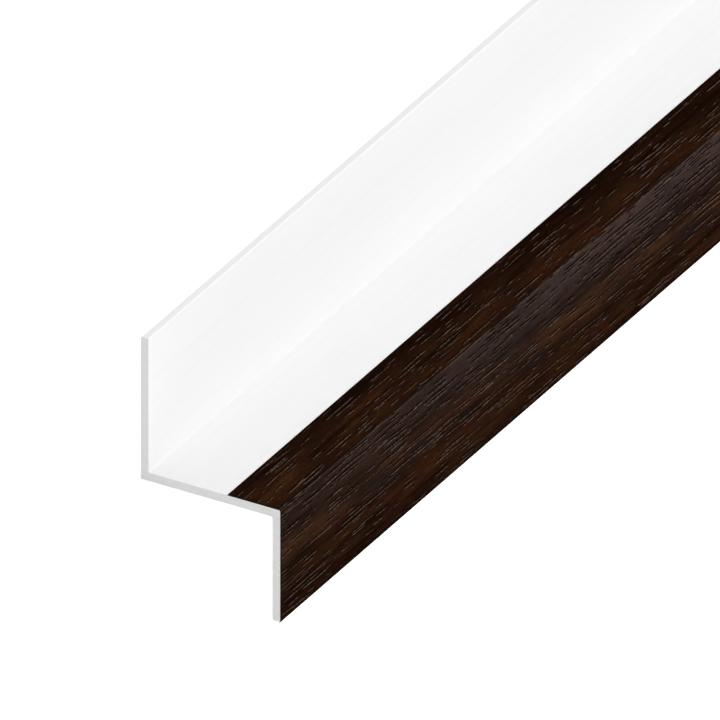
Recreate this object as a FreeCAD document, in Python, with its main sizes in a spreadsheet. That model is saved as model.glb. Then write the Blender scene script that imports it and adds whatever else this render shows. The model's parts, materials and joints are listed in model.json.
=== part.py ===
# Cladding drip trim: a white uPVC bar extruded to a Z section, with woodgrain foil bonded over its front.
# The upstand goes up behind the cladding, the ledge runs out under it, and the drop leg sheds the water.
# The section is drawn as the trim is fitted, with its ledge level and its rear lower corner at 0, 0.
# The finished bar is then turned about its length to lie as it does on a floor, on that corner and on
# the back corner of the drop leg's tip. X runs from wall to front, Y along the bar and Z up, in mm.
import FreeCAD
import Part
import Sketcher
import math
import os

# The driving dimensions. They are written only here, and every feature reads them from the sheet.
SIZES = {
    "bar_length": 2500.0,      # a length that such trims are sold in
    "ledge_depth": 40.0,       # back of the upstand to the front of the drop leg
    "ledge_wall": 2.4,
    "upstand_height": 40.7,    # underside of the ledge to the top of the upstand
    "upstand_wall": 2.2,
    "drop_height": 32.0,       # top of the ledge to the tip of the drop leg
    "drop_wall": 2.2,
    "edge_radius": 0.3,        # the outer corners and the tips of both legs
    "root_radius": 0.4,        # the two inner corners
    "foil_thickness": 0.2,
    "foil_return": 15.1,       # front of the drop leg to the foil's back edge on the ledge
}

# The corners of the Z, going round it, each the start of the line with the same number.
HEEL, UPSTAND_BACK, UPSTAND_FRONT, SEAT_ROOT, ARRIS, TIP_FRONT, TIP_BACK, DRIP_ROOT = range(8)

# The lines and arcs of the foil's outline, going round it from its back edge on the ledge.
(BACK_EDGE, SHOW_TOP, SHOW_ARRIS, SHOW_FRONT, SHOW_TIP,
 TIP_EDGE, BOND_TIP, BOND_FRONT, BOND_ARRIS, BOND_TOP) = range(10)

# Which point of a line or an arc a constraint holds. Arcs run anticlockwise.
START, END, CENTRE = 1, 2, 3
DRAWING_ORIGIN = (-1, START)

# Both corners that the bar lies on are rounded alike, so it lies level when their centres are level.
LIE_ANGLE = "atan((Sizes.drop_height - Sizes.ledge_wall) / (Sizes.ledge_depth - Sizes.drop_wall))"
LIE_SINE = f"sin({LIE_ANGLE})"
LIE_COSINE = f"cos({LIE_ANGLE})"


def make_sheet(doc):
    sheet = doc.addObject("Spreadsheet::Sheet", "Sizes")
    for row, (name, value) in enumerate(SIZES.items(), start=1):
        sheet.set(f"A{row}", name)
        sheet.set(f"B{row}", str(value))
        sheet.setAlias(f"B{row}", name)
    doc.recompute()
    return sheet


def make_body(doc, name, label):
    body = doc.addObject("PartDesign::Body", name)
    body.Label = label
    return body


def section_sketch(body, name):
    """An empty sketch across the bar: its x is the bar's X, and its y is the bar's Z."""
    sketch = body.newObject("Sketcher::SketchObject", name)
    plane = next(item for item in body.Origin.OriginFeatures if item.Role == "XZ_Plane")
    sketch.AttachmentSupport = [(plane, "")]
    sketch.MapMode = "FlatFace"
    return sketch


def add_line(sketch, start, end):
    sketch.addGeometry(Part.LineSegment(FreeCAD.Vector(*start, 0), FreeCAD.Vector(*end, 0)), False)


def add_arc(sketch, centre, radius, first_quarter):
    """A quarter circle that starts after the given number of quarter turns from the x axis."""
    circle = Part.Circle(FreeCAD.Vector(*centre, 0), FreeCAD.Vector(0, 0, 1), radius)
    start = first_quarter * math.pi / 2
    sketch.addGeometry(Part.ArcOfCircle(circle, start, start + math.pi / 2), False)


def hold(sketch, kind, *points):
    sketch.addConstraint(Sketcher.Constraint(kind, *points))


def dimension(sketch, name, kind, start, end, expression):
    """A driving distance between two points, which first takes the length that is drawn."""
    reach = sketch.getPoint(*end) - sketch.getPoint(*start)
    drawn = reach.x if kind == "DistanceX" else reach.y
    index = sketch.addConstraint(Sketcher.Constraint(kind, *start, *end, drawn))
    sketch.renameConstraint(index, name)
    sketch.setExpression(f"Constraints.{name}", expression)


def draw_section(body):
    """The plain Z with sharp corners."""
    size = SIZES
    top = size["ledge_wall"]
    tip = top - size["drop_height"]
    front = size["ledge_depth"]
    corners = {
        HEEL: (0, 0),
        UPSTAND_BACK: (0, size["upstand_height"]),
        UPSTAND_FRONT: (size["upstand_wall"], size["upstand_height"]),
        SEAT_ROOT: (size["upstand_wall"], top),
        ARRIS: (front, top),
        TIP_FRONT: (front, tip),
        TIP_BACK: (front - size["drop_wall"], tip),
        DRIP_ROOT: (front - size["drop_wall"], 0),
    }
    sketch = section_sketch(body, "ZSection")
    for corner, place in corners.items():
        add_line(sketch, place, corners[(corner + 1) % len(corners)])
    for corner in corners:
        hold(sketch, "Coincident", corner, END, (corner + 1) % len(corners), START)
    for upright in (HEEL, UPSTAND_FRONT, ARRIS, TIP_BACK):
        hold(sketch, "Vertical", upright)
    for level in (UPSTAND_BACK, SEAT_ROOT, TIP_FRONT, DRIP_ROOT):
        hold(sketch, "Horizontal", level)
    hold(sketch, "Coincident", HEEL, START, *DRAWING_ORIGIN)
    distances = [
        ("upstand_height", "DistanceY", HEEL, UPSTAND_BACK),
        ("upstand_wall", "DistanceX", UPSTAND_BACK, UPSTAND_FRONT),
        ("ledge_wall", "DistanceY", HEEL, SEAT_ROOT),
        ("ledge_depth", "DistanceX", HEEL, ARRIS),
        ("drop_height", "DistanceY", TIP_FRONT, ARRIS),
        ("drop_wall", "DistanceX", TIP_BACK, TIP_FRONT),
    ]
    for name, kind, start, end in distances:
        dimension(sketch, name, kind, (start, START), (end, START), f"Sizes.{name}")
    return sketch


def draw_foil(body):
    """The foil is as thick round the arris and the tip as on the flats, so its arcs share their centres
    with the bar's rounded corners. It turns under the tip and stops where that corner ends."""
    size = SIZES
    thick = size["foil_thickness"]
    round_bar = size["edge_radius"]
    round_foil = round_bar + thick
    back = size["ledge_depth"] - size["foil_return"]
    top = size["ledge_wall"]
    front = size["ledge_depth"]
    turn = front - round_bar
    arris = (turn, top - round_bar)
    tip = (turn, top - size["drop_height"] + round_bar)
    sketch = section_sketch(body, "FoilOutline")
    add_line(sketch, (back, top), (back, top + thick))
    add_line(sketch, (back, top + thick), (turn, top + thick))
    add_arc(sketch, arris, round_foil, 0)
    add_line(sketch, (front + thick, arris[1]), (front + thick, tip[1]))
    add_arc(sketch, tip, round_foil, 3)
    add_line(sketch, (turn, tip[1] - round_foil), (turn, tip[1] - round_bar))
    add_arc(sketch, tip, round_bar, 3)
    add_line(sketch, (front, tip[1]), (front, arris[1]))
    add_arc(sketch, arris, round_bar, 0)
    add_line(sketch, (turn, top), (back, top))
    smooth_joins = [
        (SHOW_TOP, END, SHOW_ARRIS, END),
        (SHOW_ARRIS, START, SHOW_FRONT, START),
        (SHOW_FRONT, END, SHOW_TIP, END),
        (BOND_TIP, END, BOND_FRONT, START),
        (BOND_FRONT, END, BOND_ARRIS, START),
        (BOND_ARRIS, END, BOND_TOP, START),
    ]
    for join in smooth_joins:
        hold(sketch, "Tangent", *join)
    shared_points = [
        (BACK_EDGE, END, SHOW_TOP, START),
        (SHOW_TIP, START, TIP_EDGE, START),
        (TIP_EDGE, END, BOND_TIP, START),
        (BOND_TOP, END, BACK_EDGE, START),
        (SHOW_ARRIS, CENTRE, BOND_ARRIS, CENTRE),
        (SHOW_TIP, CENTRE, BOND_TIP, CENTRE),
    ]
    for pair in shared_points:
        hold(sketch, "Coincident", *pair)
    for upright in (BACK_EDGE, SHOW_FRONT, TIP_EDGE, BOND_FRONT):
        hold(sketch, "Vertical", upright)
    hold(sketch, "Horizontal", SHOW_TOP)
    hold(sketch, "Horizontal", BOND_TOP)
    hold(sketch, "Vertical", BOND_TIP, START, BOND_TIP, CENTRE)
    hold(sketch, "Equal", BOND_TIP, BOND_ARRIS)
    radius = sketch.addConstraint(Sketcher.Constraint("Radius", BOND_ARRIS, round_bar))
    sketch.renameConstraint(radius, "edge_radius")
    sketch.setExpression("Constraints.edge_radius", "Sizes.edge_radius")
    distances = [
        ("foil_thickness", "DistanceY", (BACK_EDGE, START), (BACK_EDGE, END), "Sizes.foil_thickness"),
        ("foil_return", "DistanceX", (BACK_EDGE, START), (BOND_FRONT, START), "Sizes.foil_return"),
        ("ledge_depth", "DistanceX", DRAWING_ORIGIN, (BOND_FRONT, START), "Sizes.ledge_depth"),
        ("ledge_wall", "DistanceY", DRAWING_ORIGIN, (BACK_EDGE, START), "Sizes.ledge_wall"),
        ("drop_height", "DistanceY", (BOND_TIP, START), (BACK_EDGE, START), "Sizes.drop_height"),
    ]
    for distance in distances:
        dimension(sketch, *distance)
    return sketch


def extrude(body, sketch, name):
    """The section drawn out both ways from the middle of the bar to its two saw cuts."""
    pad = body.newObject("PartDesign::Pad", name)
    pad.Profile = sketch
    pad.Midplane = True
    pad.setExpression("Length", "Sizes.bar_length")
    return pad


def round_corners(body, pad, sketch, corners, name, radius):
    """A fillet along each long edge of the pad that starts from one of the given section corners."""
    edges = []
    for corner in corners:
        place = sketch.getPoint(corner, START)
        on_edge = FreeCAD.Vector(place.x, 0, place.y)
        for number, edge in enumerate(pad.Shape.Edges, start=1):
            if (edge.CenterOfMass - on_edge).Length < Part.Precision.confusion():
                edges.append(f"Edge{number}")
    fillet = body.newObject("PartDesign::Fillet", name)
    fillet.Base = (pad, edges)
    fillet.setExpression("Radius", radius)
    return fillet


def make_profile(doc):
    body = make_body(doc, "Profile", "z_profile")
    sketch = draw_section(body)
    pad = extrude(body, sketch, "Extrusion")
    doc.recompute()
    outer = (HEEL, UPSTAND_BACK, UPSTAND_FRONT, ARRIS, TIP_FRONT, TIP_BACK)
    rounded = round_corners(body, pad, sketch, outer, "OuterCorners", "Sizes.edge_radius")
    doc.recompute()
    inner = (SEAT_ROOT, DRIP_ROOT)
    round_corners(body, rounded, sketch, inner, "InnerCorners", "Sizes.root_radius")
    return body


def make_foil(doc):
    body = make_body(doc, "Foil", "woodgrain_foil")
    extrude(body, draw_foil(body), "Laminate")
    return body


def lay_down(body):
    """Turns the bar until both corners that it lies on are on the floor, with its middle over the origin."""
    rear = (f"Sizes.edge_radius * {LIE_COSINE} - Sizes.edge_radius"
            f" - (Sizes.upstand_height - Sizes.edge_radius) * {LIE_SINE}")
    front = (f"(Sizes.ledge_depth - Sizes.edge_radius) * {LIE_COSINE}"
             f" + (Sizes.drop_height - Sizes.ledge_wall - Sizes.edge_radius) * {LIE_SINE}"
             " + Sizes.edge_radius + Sizes.foil_thickness")
    lowest = f"Sizes.edge_radius * ({LIE_SINE} + {LIE_COSINE} - 1)"
    backwards = FreeCAD.Vector(0, -1, 0)
    body.Placement = FreeCAD.Placement(FreeCAD.Vector(), FreeCAD.Rotation(backwards, 1))
    body.setExpression("Placement.Rotation.Angle", LIE_ANGLE)
    body.setExpression("Placement.Base.x", f"-({rear} + {front}) / 2")
    body.setExpression("Placement.Base.z", f"-({lowest})")


def check(doc, pieces):
    for item in doc.Objects:
        if {"Invalid", "Error"} & set(item.State):
            raise RuntimeError(f"{item.Label} failed: {item.State}")
    for piece in pieces:
        if piece.Shape.isNull() or not piece.Shape.isValid():
            raise RuntimeError(f"{piece.Label} has no valid shape")


def write(pieces):
    os.makedirs("parts", exist_ok=True)
    for piece in pieces:
        piece.Shape.exportStep(f"parts/{piece.Label}.step")
        box = piece.Shape.BoundBox
        print(f"{piece.Label}: {piece.Shape.Volume:.0f} mm3,"
              f" X {box.XMin:.2f} to {box.XMax:.2f}, Z {box.ZMin:.2f} to {box.ZMax:.2f}")


doc = FreeCAD.newDocument("cladding_drip_trim")
make_sheet(doc)
profile = make_profile(doc)
foil = make_foil(doc)
lay_down(profile)
foil.setExpression("Placement", "Profile.Placement")
doc.recompute()
check(doc, (profile, foil))
write((profile, foil))
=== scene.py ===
# Studio picture of a cladding drip trim: a white uPVC Z bar with rosewood woodgrain foil on its front.
# The CAD solids stay as they are and get their finishes here. Places are in metres, patterns in millimetres.
import json
import math
import bpy
from mathutils import Matrix, Vector


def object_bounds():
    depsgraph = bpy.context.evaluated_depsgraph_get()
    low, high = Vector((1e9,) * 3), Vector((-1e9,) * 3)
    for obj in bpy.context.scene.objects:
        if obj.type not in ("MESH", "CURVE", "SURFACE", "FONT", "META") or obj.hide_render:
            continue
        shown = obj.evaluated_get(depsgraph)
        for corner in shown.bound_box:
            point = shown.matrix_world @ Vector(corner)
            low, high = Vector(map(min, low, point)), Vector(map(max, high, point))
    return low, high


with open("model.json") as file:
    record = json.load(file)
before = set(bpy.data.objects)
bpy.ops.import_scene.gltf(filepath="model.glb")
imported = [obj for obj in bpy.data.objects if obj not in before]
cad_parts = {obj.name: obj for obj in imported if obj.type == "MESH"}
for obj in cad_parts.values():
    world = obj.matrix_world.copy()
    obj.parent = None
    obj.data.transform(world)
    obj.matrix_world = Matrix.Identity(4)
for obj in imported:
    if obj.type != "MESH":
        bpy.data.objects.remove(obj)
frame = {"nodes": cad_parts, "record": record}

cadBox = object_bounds()
scene = bpy.context.scene
nodes = frame["nodes"]
mmPerMetre = 1000

# The bar lies turned about its length. The record's flat faces give the turned directions of its section:
# toFront runs from the wall out over the ledge, toTop runs up the upstand, and heel is the sharp corner
# between them at the near saw cut.
mounts = {mount["name"]: mount for mount in frame["record"]["mounts"]}
toWall = Vector(mounts["wall_face"]["axis"])
toGround = Vector(mounts["ledge_underside"]["axis"])
toFront, toTop, alongBar = -toWall, -toGround, Vector((0, 1, 0))
heel = (toWall * toWall.dot(mounts["wall_face"]["pos_m"])
        + toGround * toGround.dot(mounts["ledge_underside"]["pos_m"])
        + alongBar * cadBox[0].y)
lieAngle = math.atan2(toFront.z, toFront.x)
print(f"frame: bar turned {math.degrees(lieAngle):.2f} degrees about its length")

# The photograph is a parallel view, 30 degrees round from the saw cut and 30 degrees up. It shows the ledge
# level, so the camera is rolled with the bar.
photographView = {
    "azimuth": math.radians(30),
    "elevation": math.radians(30),
    "pixelsPerMm": 4.0243,
    "frameSize": 720,
    "heelPixel": (140.75, 478.76),     # where the heel is in the picture
    "distance": 1.5,                   # m, which a parallel view doesn't show
    "farthest": 50,
}


def makeCamera(look):
    azimuth, elevation = look["azimuth"], look["elevation"]
    toCamera = (toFront * math.sin(azimuth) * math.cos(elevation)
                - alongBar * math.cos(azimuth) * math.cos(elevation)
                + toTop * math.sin(elevation))
    right = toFront * math.cos(azimuth) + alongBar * math.sin(azimuth)
    up = toCamera.cross(right)
    metresPerPixel = 1 / (mmPerMetre * look["pixelsPerMm"])
    middle = look["frameSize"] / 2
    target = (heel + right * (middle - look["heelPixel"][0]) * metresPerPixel
              + up * (look["heelPixel"][1] - middle) * metresPerPixel)
    data = bpy.data.cameras.new("photographView")
    data.type = "ORTHO"
    data.ortho_scale = look["frameSize"] * metresPerPixel
    data.clip_end = look["farthest"]
    eye = bpy.data.objects.new("photographView", data)
    eye.matrix_world = Matrix((right, up, toCamera)).transposed().to_4x4()
    eye.location = target + toCamera * look["distance"]
    scene.collection.objects.link(eye)
    scene.camera = eye


makeCamera(photographView)
print("camera set")


def linearColour(hexColour):
    channels = [int(hexColour[i:i + 2], 16) / 255 for i in (1, 3, 5)]
    return [c / 12.92 if c <= 0.04045 else ((c + 0.055) / 1.055) ** 2.4 for c in channels] + [1]


# Adds a node and returns its outputs. inputs maps a socket's name or number to a value or to another node's
# output, stops fill a colour ramp with places and colours, and the rest are the node's own settings.
# A MapRange takes 1 and 2 to 3 and 4. A Mix goes from 2 to 3 for numbers, and from 6 to 7 for colours.
def addNode(tree, kind, inputs=None, stops=None, **settings):
    node = tree.nodes.new("ShaderNode" + kind)
    for name, value in settings.items():
        setattr(node, name, value)
    for socket, value in (inputs or {}).items():
        if isinstance(value, bpy.types.NodeSocket):
            tree.links.new(value, node.inputs[socket])
        else:
            node.inputs[socket].default_value = value
    for index, (place, colour) in enumerate(stops or ()):
        ramp = node.color_ramp.elements
        stop = ramp[index] if index < 2 else ramp.new(place)
        stop.position, stop.color = place, colour
    return node.outputs


def newMaterial(name):
    material = bpy.data.materials.new(name)
    material.use_nodes = True
    material.node_tree.nodes.clear()
    return material, material.node_tree


# The bar's own section coordinates in millimetres: x from the wall to the front, y along from the near saw
# cut, z up the upstand.
def sectionCoordinates(tree):
    origin = Matrix.Rotation(lieAngle, 3, "Y") @ heel * -mmPerMetre
    inSection = addNode(tree, "Mapping", {
        "Vector": addNode(tree, "TexCoord")["Object"],
        "Location": origin,
        "Rotation": (0, lieAngle, 0),
        "Scale": (mmPerMetre, mmPerMetre, mmPerMetre),
    })
    return addNode(tree, "SeparateXYZ", {0: inSection[0]})


# Soft cloudy pattern, 0 to 1, in patches of a size given as mm across and mm along. Each seed gives another
# one. With levels, what lies from the first to the second is stretched to go from the third to the fourth.
def clouds(tree, across, along, size, seed, detail, levels=None):
    place = addNode(tree, "CombineXYZ", {
        0: addNode(tree, "Math", {0: across, 1: size[0]}, operation="DIVIDE")[0],
        1: addNode(tree, "Math", {0: along, 1: size[1]}, operation="DIVIDE")[0],
        2: seed,
    })
    cloud = addNode(tree, "TexNoise", {"Vector": place[0], "Scale": 1.0, "Detail": detail})[0]
    if levels is None:
        return cloud
    return addNode(tree, "MapRange", {0: cloud, 1: levels[0], 2: levels[1], 3: levels[2], 4: levels[3]})[0]


# What changes over a distance, such as the tone from band to band, given as pairs of mm and amount.
def changeOver(tree, distance, pairs):
    first, last = pairs[0][0], pairs[-1][0]
    part = addNode(tree, "MapRange", {0: distance, 1: first, 2: last})[0]
    return addNode(tree, "ValToRGB", {0: part}, [
        ((place - first) / (last - first), (amount, amount, amount, 1)) for place, amount in pairs
    ])[0]


# 1 at the saw cuts and 0 further in. reach is where it starts to fall and where it ends, in mm from a cut.
def nearSawCut(tree, along, reach):
    length = (cadBox[1].y - cadBox[0].y) * mmPerMetre
    farther = addNode(tree, "Math", {0: length, 1: along}, operation="SUBTRACT")[0]
    nearer = addNode(tree, "Math", {0: along, 1: farther}, operation="MINIMUM")[0]
    return addNode(tree, "MapRange", {0: nearer, 1: reach[0], 2: reach[1], 3: 1.0, 4: 0.0})[0]


# White uPVC, extruded and sawn to length. The die leaves a clean skin with a soft shine and very faint lines
# along the bar. The saw takes the shine off the ends and leaves fine scratches.
whiteBar = {
    "colour": "#F6F6F6",
    "lineColour": "#F2F2F2",
    "roughness": 0.32,
    "lineRoughness": 0.37,
    "ior": 1.52,
    "dieLines": {"size": (0.45, 900), "seed": 3.5, "detail": 3.0},     # really 0.1 mm apart, too fine to show
    "dieLineDepth": 0.004,
    "haze": {"size": (14, 60), "seed": 6.5, "detail": 2.0},
    "hazeShare": 0.5,
    "skinLevels": (0.5, 1.05),         # of lines and haze together, from the dullest skin to the cleanest
    "sawnColour": "#F8F8F7",
    "sawnRoughness": 0.55,
    "sawnReach": (0.02, 0.05),
    "scratches": {"size": (0.35, 30), "seed": 9.5, "detail": 3.0},     # really 0.1 mm apart, too fine to show
    "scratchLean": 0.35,               # the blade comes down askew: mm of rise for each mm across
    "scratchLevels": (0.3, 0.7, 0.93, 1.0),
    "scratchDepth": 0.03,
}


def makeWhite(look):
    material, tree = newMaterial("extrudedWhiteUpvc")
    x, y, z = sectionCoordinates(tree)
    around = addNode(tree, "Math", {0: x, 1: z}, operation="SUBTRACT")[0]
    lines = clouds(tree, around, y, **look["dieLines"])
    haze = clouds(tree, around, y, **look["haze"])
    smooth = addNode(tree, "Math", {0: haze, 1: look["hazeShare"], 2: lines}, operation="MULTIPLY_ADD")[0]
    smooth = addNode(tree, "MapRange", {0: smooth, 1: look["skinLevels"][0], 2: look["skinLevels"][1]})[0]
    skin = addNode(tree, "Mix", {
        0: smooth,
        6: linearColour(look["lineColour"]),
        7: linearColour(look["colour"]),
    }, data_type="RGBA")[2]
    skinRoughness = addNode(tree, "MapRange", {0: smooth, 3: look["lineRoughness"], 4: look["roughness"]})[0]

    sawn = nearSawCut(tree, y, look["sawnReach"])
    askew = addNode(tree, "Math", {0: x, 1: look["scratchLean"], 2: z}, operation="MULTIPLY_ADD")[0]
    scratches = clouds(tree, askew, x, **look["scratches"])
    low, high, dim, bright = look["scratchLevels"]
    shade = addNode(tree, "MapRange", {0: scratches, 1: low, 2: high, 3: dim, 4: bright})[0]
    sawnColour = linearColour(look["sawnColour"])[:3]
    cut = addNode(tree, "VectorMath", {0: sawnColour, 3: shade}, operation="SCALE")[0]
    depth = addNode(tree, "Mix", {
        0: sawn,
        2: addNode(tree, "Math", {0: lines, 1: look["dieLineDepth"]}, operation="MULTIPLY")[0],
        3: addNode(tree, "Math", {0: scratches, 1: look["scratchDepth"]}, operation="MULTIPLY")[0],
    })[0]
    shader = addNode(tree, "BsdfPrincipled", {
        "Base Color": addNode(tree, "Mix", {0: sawn, 6: skin, 7: cut}, data_type="RGBA")[2],
        "Roughness": addNode(tree, "MapRange", {0: sawn, 3: skinRoughness, 4: look["sawnRoughness"]})[0],
        "IOR": look["ior"],
        "Normal": addNode(tree, "Bump", {"Strength": 1.0, "Distance": 1 / mmPerMetre, "Height": depth})[0],
    })
    addNode(tree, "OutputMaterial", {"Surface": shader[0]})
    return material


# Rosewood woodgrain foil: PVC film that is printed, embossed and laminated on warm. The print gives nearly
# black brown bands with warmer patches in them. The embossing gives short cut pores; each gets a dark side,
# printed dark with painted shade in the groove, and a light side that is a painted highlight. The rollers
# leave the face dull, with a soft violet sheen below the arris.
# Girth is the way over the foil from its back edge: the arris is at 15.3 mm and the tip at 47.5 mm.
rosewoodFoil = {
    "backEdge": 24.9,                  # mm from the wall to the foil's back edge
    "topFace": 2.6,                    # mm from the ledge's underside to the foil's top

    # How far the grain strays sideways: slow waves for all of it, turns for the figure, ripples for the pores
    "figureDrift": 5.0,
    "poreDrift": 1.5,
    "sheenDrift": 1.0,
    "driftLength": 900,
    "driftStart": 120,
    "turn": 3.0,
    "turns": {"size": (30, 90), "seed": 1.5, "detail": 1.0},
    "ripple": 0.9,
    "ripples": {"size": (9, 13), "seed": 4.5, "detail": 1.0},

    # Printed figure: bands gives its tone at places over the girth, and the patterns are added by weights.
    # The streaks are as far apart as growth rings.
    "tones": ["#160A06", "#1E0F09", "#26150E", "#301A0F", "#3C2413"],
    "toneShift": -1.27,                # nearer to 0 makes the whole foil lighter
    "bands": [(-3, 0.2), (4.5, 0.18), (8, 0.49), (11, 0.55), (13.5, 0.48), (17, 0.36), (22, 0.32), (25, 0.4),
              (27, 0.36), (30, 0.74), (32.5, 0.67), (36.8, 0.34), (41.5, 0.54), (45.5, 0.26), (50, 0.1)],
    "edges": [(2.4, 1), (4.4, 0), (44.8, 0), (45.6, 1)],
    "patches": {"size": (5, 12), "seed": 8.5, "detail": 2.0},
    "streaks": {"size": (1.3, 20), "seed": 12.5, "detail": 2.0},
    "flecks": {"size": (0.5, 1.4), "seed": 28.5, "detail": 1.0},
    "specks": {"size": (0.5, 0.55), "seed": 48.5, "detail": 1.0},      # really 0.1 mm dots, too fine to show
    "veins": {"size": (1.2, 48), "seed": 32.5, "detail": 1.0, "levels": (0.55, 0.66, 0, 1)},
    "fibres": {"size": (0.25, 8), "seed": 16.5, "detail": 2.0},        # really 0.02 mm wide, too fine to show
    "fibreDepth": 0.012,
    "weights": {
        "patches": 0.8,
        "streaks": 0.55,
        "flecks": 0.25,
        "specks": 0.6,
        "veins": -0.4,
        "fibres": 0.6,
        "poreShade": -0.45,
        "edges": -0.12,
    },
    "redTint": "#FFF5EE",
    "oliveTint": "#F1FFE2",
    "redness": {"size": (4, 8), "seed": 44.5, "detail": 3.0, "levels": (0.35, 0.65, 0, 1)},
    "violet": "#1B1312",
    "violetBand": [(30.5, 0), (32.5, 0.65), (36, 0.65), (38.5, 0)],
    "violetPatches": {"size": (4, 16), "seed": 52.5, "detail": 3.0, "levels": (0.5, 0.62, 0, 1)},

    # Embossed pores, at most one to a cell. shortest and longest are half lengths, and one below 0 isn't cut.
    "longPores": {"cell": (1.3, 22.0), "shortest": -1.5, "longest": 8.5, "seed": 0.0},
    "shortPores": {"cell": (1.1, 11.0), "shortest": -0.8, "longest": 3.5, "seed": 7.3},
    "scatter": 0.9,                    # 0 sets them in rows, and 1 strews them over their cells
    "chance": (0.55, 1.25),            # draws that give the shortest pore and the longest
    "crowding": {"size": (6, 22), "seed": 20.5, "detail": 1.0},
    "crowdingShare": 0.6,
    "crowdedPlaces": [(14.5, 0.05), (16, 0.17), (24, 0.16), (29, 0.09), (37, 0)],
    "cutPlaces": [(0.4, 0), (1.6, 1), (46.2, 1), (47.2, 0)],           # none is cut at the foil's edges
    "stretch": (14.5, 16, 0.85, 1.05),     # they get longer over the arris, from 14.5 to 16 mm of girth
    "taper": 0.7,                      # share of the depth gained in each mm from a pore's end
    "faintest": 0.4,
    "poreDepth": 0.05,

    # What runs along each pore: the groove itself, printed dark with painted shade in it, the print gone dark
    # round it, its dull bottom, and the flank with a painted highlight. centre is mm to the side. A real pore
    # is
    # 0.2 mm wide, too fine to show.
    "groove": {"centre": -0.19, "halfWidth": 0.3, "softness": 0.6},
    "shade": {"centre": -0.2, "halfWidth": 0.7, "softness": 1.0},
    "dull": {"centre": -0.21, "halfWidth": 0.62, "softness": 0.75, "fading": False},
    "flankHighlight": {"centre": 0.11, "halfWidth": 0.16, "softness": 0.7},
    # poreDark is the pores' dark print with the groove's painted shade in it
    "poreDark": "#0A0402",
    # poreLight is a painted highlight, added on each pore's flank
    "poreLight": "#65554A",
    "flankPlaces": [(14.8, 0.92), (15.8, 0.68), (28, 0.68), (36, 0.62)],
    "flankBreaks": {"size": (0.6, 0.65), "seed": 40.5, "detail": 1.0, "levels": (0.35, 0.65, 0.3, 1.75)},
    # A painted highlight along the rounded tip, broken into dashes
    "tipHighlight": [(45.75, 0), (46, 0.1), (46.2, 0.1), (46.45, 0)],
    "tipHighlightDashes": {"size": (2, 3), "seed": 64.5, "detail": 2.0, "levels": (0.45, 0.6, 0, 1)},

    # Finish: polish is the specular level where the sheen is full
    "ior": 1.5,
    "roughness": 0.42,
    "dullRoughness": 0.6,
    "polish": 0.265,
    "polishTint": "#FFD9D7",
    "polishStart": (15.1, 15.6),
    "sheen": [(16, 1), (21, 0.88), (23, 0.52), (25.5, 0.24), (29, 0.14), (33, 0.06), (37, 0)],
    "rubbing": {"size": (5, 9), "seed": 36.5, "detail": 5.0, "levels": (0.3, 0.7, 0.45, 1.6)},
    "satin": {"size": (0.5, 0.5), "seed": 60.5, "detail": 1.0, "levels": (0.3, 0.7, 0.6, 1.4)},
    "cutEdge": "#141410",
    "cutReach": (0.1, 0.5),
}


# Places the pores. Many cells stay empty, and a few patches have hardly any. Each kind of pore gives the mm
# to the side of the nearest one's middle line, how deep it is cut there, and the same with some fainter.
def placePores(tree, look, girth, grain, along):
    crowd = addNode(tree, "Math", {
        0: clouds(tree, girth, along, **look["crowding"]),
        1: look["crowdingShare"],
        2: changeOver(tree, girth, look["crowdedPlaces"]),
    }, operation="MULTIPLY_ADD")[0]
    near, far, shorter, longer = look["stretch"]
    stretch = addNode(tree, "MapRange", {0: girth, 1: near, 2: far, 3: shorter, 4: longer})[0]
    cutShare = changeOver(tree, girth, look["cutPlaces"])
    poreKinds = []
    for pores in (look["longPores"], look["shortPores"]):
        cellAcross, cellAlong = pores["cell"]
        place = addNode(tree, "CombineXYZ", {
            0: addNode(tree, "Math", {0: grain, 1: cellAcross}, operation="DIVIDE")[0],
            1: addNode(tree, "Math", {
                0: along,
                1: 1 / cellAlong,
                2: pores["seed"],
            }, operation="MULTIPLY_ADD")[0],
        })[0]
        nearest = addNode(tree, "TexVoronoi", {"Vector": place, "Scale": 1.0, "Randomness": look["scatter"]},
                          voronoi_dimensions="2D")
        away = addNode(tree, "VectorMath", {0: place, 1: nearest["Position"]}, operation="SUBTRACT")[0]
        away = addNode(tree, "VectorMath", {0: away, 1: (cellAcross, cellAlong, 0)}, operation="MULTIPLY")[0]
        away = addNode(tree, "SeparateXYZ", {0: away})
        shuffled = addNode(tree, "SeparateColor", {0: nearest["Color"]})
        chance = addNode(tree, "Math", {0: crowd, 1: shuffled[0]}, operation="ADD")[0]
        reach = addNode(tree, "MapRange", {
            0: chance,
            1: look["chance"][0],
            2: look["chance"][1],
            3: pores["shortest"],
            4: pores["longest"],
        })[0]
        reach = addNode(tree, "Math", {0: reach, 1: stretch}, operation="MULTIPLY")[0]
        ahead = addNode(tree, "Math", {0: away[1]}, operation="ABSOLUTE")[0]
        cut = addNode(tree, "Math", {0: reach, 1: ahead}, operation="SUBTRACT")[0]
        cut = addNode(tree, "Math", {0: cut, 1: look["taper"]}, operation="MULTIPLY", use_clamp=True)[0]
        cut = addNode(tree, "Math", {0: cut, 1: cutShare}, operation="MULTIPLY")[0]
        faint = addNode(tree, "MapRange", {0: shuffled[1], 3: look["faintest"], 4: 1.0})[0]
        fadingCut = addNode(tree, "Math", {0: cut, 1: faint}, operation="MULTIPLY")[0]
        poreKinds.append((away[0], cut, fadingCut))
    return poreKinds


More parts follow.
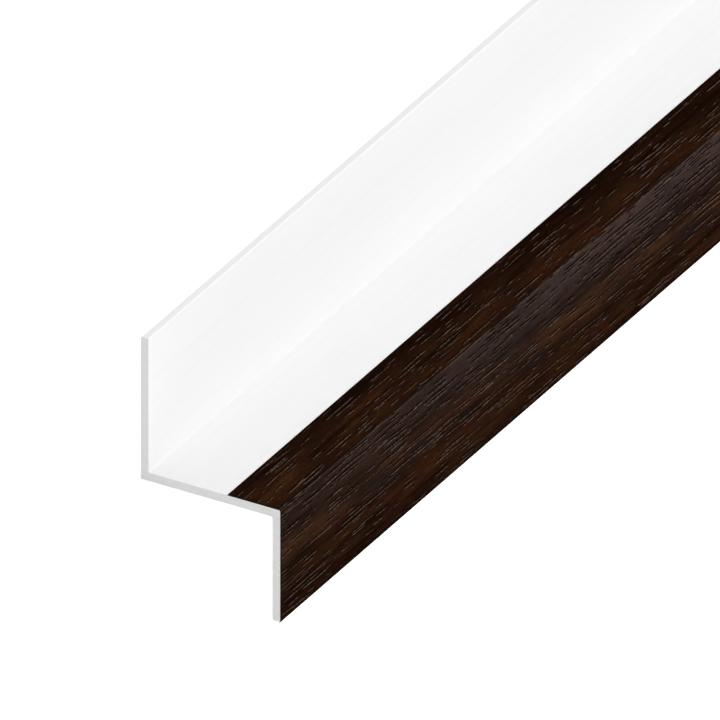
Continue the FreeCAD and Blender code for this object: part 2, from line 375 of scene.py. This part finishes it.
# A stripe along every pore, with its middle line centre mm to the side of the pore's own.
def poreStripe(tree, poreKinds, centre, halfWidth, softness, fading=True):
    evenHalf = halfWidth * (1 - softness)
    stripes = []
    for aside, cut, fadingCut in poreKinds:
        gap = addNode(tree, "Math", {0: aside, 1: centre}, operation="SUBTRACT")[0]
        gap = addNode(tree, "Math", {0: gap}, operation="ABSOLUTE")[0]
        stripe = addNode(tree, "MapRange", {0: gap, 1: halfWidth, 2: evenHalf, 3: 0, 4: 1})[0]
        depth = fadingCut if fading else cut
        stripes.append(addNode(tree, "Math", {0: stripe, 1: depth}, operation="MULTIPLY")[0])
    return addNode(tree, "Math", {0: stripes[0], 1: stripes[1]}, operation="MAXIMUM")[0]


def makeFoil(look):
    material, tree = newMaterial("embossedRosewoodFoil")
    x, y, z = sectionCoordinates(tree)
    girth = addNode(tree, "Math", {0: x, 1: z}, operation="SUBTRACT")[0]
    girth = addNode(tree, "Math", {0: girth, 1: look["backEdge"] - look["topFace"]}, operation="SUBTRACT")[0]

    # The printed figure strays the most. The pores follow it less, or they would stand askew to the bar.
    pace = 2 * math.pi / look["driftLength"]
    wave = addNode(tree, "Math", {0: y, 1: pace, 2: -look["driftStart"] * pace}, operation="MULTIPLY_ADD")[0]
    wave = addNode(tree, "Math", {0: wave}, operation="SINE")[0]
    figure = addNode(tree, "Math", {0: wave, 1: -look["figureDrift"], 2: girth}, operation="MULTIPLY_ADD")[0]
    turns = clouds(tree, girth, y, **look["turns"])
    figure = addNode(tree, "Math", {0: turns, 1: look["turn"], 2: figure}, operation="MULTIPLY_ADD")[0]
    figure = addNode(tree, "Math", {0: figure, 1: look["turn"] / 2}, operation="SUBTRACT")[0]
    ripples = clouds(tree, girth, y, **look["ripples"])
    grain = addNode(tree, "Math", {0: wave, 1: -look["poreDrift"], 2: girth}, operation="MULTIPLY_ADD")[0]
    grain = addNode(tree, "Math", {0: ripples, 1: look["ripple"], 2: grain}, operation="MULTIPLY_ADD")[0]
    rubbed = addNode(tree, "Math", {0: wave, 1: -look["sheenDrift"], 2: grain}, operation="MULTIPLY_ADD")[0]

    # Pores: the flank's painted highlight comes in short pieces, and a thin painted highlight runs in dashes
    # just above the tip.
    poreKinds = placePores(tree, look, girth, grain, y)
    groove, shade, dull, flankHighlight = [
        poreStripe(tree, poreKinds, **look[name]) for name in ("groove", "shade", "dull", "flankHighlight")
    ]
    flankShare = changeOver(tree, girth, look["flankPlaces"])
    flankHighlight = addNode(tree, "Math", {0: flankHighlight, 1: flankShare}, operation="MULTIPLY")[0]
    breaks = clouds(tree, girth, y, **look["flankBreaks"])
    flankHighlight = addNode(tree, "Math", {0: flankHighlight, 1: breaks}, operation="MULTIPLY", use_clamp=True)[0]
    tipHighlight = changeOver(tree, girth, look["tipHighlight"])
    tipHighlightDashes = clouds(tree, girth, y, **look["tipHighlightDashes"])
    lit = addNode(tree, "Math", {0: tipHighlight, 1: tipHighlightDashes, 2: flankHighlight}, operation="MULTIPLY_ADD")[0]

    # Figure: the bands with the other patterns on them, then the tints and what the pores do to the print:
    # the groove's dark print with painted shade in it, and the flank's painted highlight.
    fibres = clouds(tree, grain, y, **look["fibres"])
    patterns = {
        "patches": clouds(tree, figure, y, **look["patches"]),
        "streaks": clouds(tree, grain, y, **look["streaks"]),
        "flecks": clouds(tree, grain, y, **look["flecks"]),
        "specks": clouds(tree, girth, y, **look["specks"]),
        "veins": clouds(tree, grain, y, **look["veins"]),
        "fibres": fibres,
        "poreShade": shade,
        "edges": changeOver(tree, girth, look["edges"]),
    }
    tone = changeOver(tree, figure, look["bands"])
    for name, weight in look["weights"].items():
        tone = addNode(tree, "Math", {0: patterns[name], 1: weight, 2: tone}, operation="MULTIPLY_ADD")[0]
    tone = addNode(tree, "Math", {0: tone, 1: look["toneShift"]}, operation="ADD", use_clamp=True)[0]
    steps = len(look["tones"]) - 1
    colour = addNode(tree, "ValToRGB", {0: tone},
                     [(i / steps, linearColour(brown)) for i, brown in enumerate(look["tones"])])[0]
    tint = addNode(tree, "Mix", {
        0: clouds(tree, figure, y, **look["redness"]),
        6: linearColour(look["oliveTint"]),
        7: linearColour(look["redTint"]),
    }, data_type="RGBA")[2]
    colour = addNode(tree, "Mix", {0: 1.0, 6: colour, 7: tint}, data_type="RGBA", blend_type="MULTIPLY")[2]
    violet = addNode(tree, "Math", {
        0: changeOver(tree, figure, look["violetBand"]),
        1: clouds(tree, grain, y, **look["violetPatches"]),
    }, operation="MULTIPLY")[0]
    # groove lays on the pores' dark print with painted shade in it, and lit adds the painted highlights of
    # flank and tip
    for amount, overlay, blend in (
        (violet, "violet", "MIX"),
        (groove, "poreDark", "MIX"),
        (lit, "poreLight", "ADD"),
        (nearSawCut(tree, y, look["cutReach"]), "cutEdge", "MIX"),
    ):
        colour = addNode(tree, "Mix", {0: amount, 6: colour, 7: linearColour(look[overlay])},
                         data_type="RGBA", blend_type=blend)[2]

    # Polish: brightest just below the arris, none on the ledge or in the pores. The export drops a linked
    # specular level, so the roughness carries the same pattern.
    start, full = look["polishStart"]
    polish = addNode(tree, "MapRange", {0: girth, 1: start, 2: full, 3: 0.0, 4: look["polish"]})[0]
    for share in (
        changeOver(tree, rubbed, look["sheen"]),
        clouds(tree, girth, y, **look["rubbing"]),
        clouds(tree, girth, y, **look["satin"]),
        addNode(tree, "Math", {0: 1.0, 1: dull}, operation="SUBTRACT")[0],
    ):
        polish = addNode(tree, "Math", {0: polish, 1: share}, operation="MULTIPLY")[0]
    roughness = addNode(tree, "MapRange", {
        0: polish,
        2: look["polish"],
        3: look["dullRoughness"],
        4: look["roughness"],
    })[0]
    depth = addNode(tree, "Math", {0: fibres, 1: look["fibreDepth"]}, operation="MULTIPLY")[0]
    depth = addNode(tree, "Math", {0: groove, 1: -look["poreDepth"], 2: depth}, operation="MULTIPLY_ADD")[0]
    shader = addNode(tree, "BsdfPrincipled", {
        "Base Color": colour,
        "Roughness": roughness,
        "IOR": look["ior"],
        "Specular IOR Level": polish,
        "Specular Tint": linearColour(look["polishTint"]),
        "Normal": addNode(tree, "Bump", {"Strength": 1.0, "Distance": 1 / mmPerMetre, "Height": depth})[0],
    })
    addNode(tree, "OutputMaterial", {"Surface": shader[0]})
    return material


for name, material in (("z_profile", makeWhite(whiteBar)), ("woodgrain_foil", makeFoil(rosewoodFoil))):
    nodes[name].data.materials.clear()
    nodes[name].data.materials.append(material)
print("finishes set")

# Soft studio light over a pale table. The table is matt opal acrylic lit a little from below, which makes an
# even ground that no lamp shows in. Only the overhead softbox and the card lamp show in what shines.
studio = {
    "tableSize": 14,
    "tableColour": "#C8C8C8",
    "tableRoughness": 0.9,
    "tableGlow": 0.7,
    "roomSide": 1.04,
    "roomFront": 0.07,                 # the photographed saw cut faces the dim side of the room
    "roomEdge": (-0.6, 0.3),           # where dim ends and light starts, by the y of the direction looked in
    "lampsAlong": -1.0,                # the lamps stand at the photographed stretch
    "overheadSize": (2.0, 3.0),
    "overheadHeight": 2.4,
    "overheadPower": 32.5,
    "sideSize": (1.2, 2.8),
    "sidePlace": (1.7, 0, 0.8),
    "sidePower": 8,
    "cardSize": (0.175, 0.125),
    "cardAim": (0.018, 0.2, 0.02),     # the drop leg's front, 0.2 m in from the near saw cut
    "cardOffset": (0.16375, 0.15, 0.075),      # near it and low, so that the sheen grows along the bar
    "cardPower": 0.17,
}


def makeTable(look):
    bpy.ops.mesh.primitive_plane_add(size=look["tableSize"])
    table = bpy.context.object
    table.name = "opalTable"
    material, tree = newMaterial("mattOpalAcrylic")
    shader = addNode(tree, "BsdfPrincipled", {
        "Base Color": linearColour(look["tableColour"]),
        "Roughness": look["tableRoughness"],
        "Specular IOR Level": 0.0,
        "Emission Color": (1, 1, 1, 1),
        "Emission Strength": look["tableGlow"],
    })
    addNode(tree, "OutputMaterial", {"Surface": shader[0]})
    table.data.materials.append(material)
    table.visible_glossy = False


# The room is plain white to look at, and lights the bar less from the near end than from elsewhere.
def makeRoom(look):
    scene.world = bpy.data.worlds.new("studioRoom")
    scene.world.use_nodes = True
    scene.world.cycles_visibility.glossy = False
    tree = scene.world.node_tree
    tree.nodes.clear()
    direction = addNode(tree, "SeparateXYZ", {0: addNode(tree, "TexCoord")["Generated"]})
    strength = addNode(tree, "MapRange", {
        0: direction["Y"],
        1: look["roomEdge"][0],
        2: look["roomEdge"][1],
        3: look["roomFront"],
        4: look["roomSide"],
    })[0]
    seen = addNode(tree, "Mix", {0: addNode(tree, "LightPath")["Is Camera Ray"], 2: strength, 3: 1.0})[0]
    room = addNode(tree, "Background", {"Color": (1, 1, 1, 1), "Strength": seen})
    addNode(tree, "OutputWorld", {"Surface": room[0]})


def makeLamp(name, location, aim, size, power, diffuse=True, glossy=True):
    data = bpy.data.lights.new(name, "AREA")
    data.shape = "RECTANGLE"
    data.size, data.size_y = size
    data.energy = power
    lamp = bpy.data.objects.new(name, data)
    lamp.location = location
    lamp.rotation_mode = "QUATERNION"
    lamp.rotation_quaternion = (location - aim).to_track_quat("Z", "Y")
    lamp.visible_camera = False
    lamp.visible_diffuse = diffuse
    lamp.visible_glossy = glossy
    scene.collection.objects.link(lamp)


def makeLamps(look):
    middle = Vector((0, look["lampsAlong"], 0))
    overhead = middle + (toFront + toTop).normalized() * look["overheadHeight"]
    makeLamp("overheadSoftbox", overhead, middle, look["overheadSize"], look["overheadPower"])
    beside = middle + Vector(look["sidePlace"])
    makeLamp("sideSoftbox", beside, middle, look["sideSize"], look["sidePower"], glossy=False)
    lit = Vector(look["cardAim"]) + alongBar * heel.y
    card = lit + Vector(look["cardOffset"])
    makeLamp("cardLamp", card, lit, look["cardSize"], look["cardPower"], diffuse=False)


makeTable(studio)
makeRoom(studio)
makeLamps(studio)
scene.view_settings.view_transform = "Standard"
print("studio set")
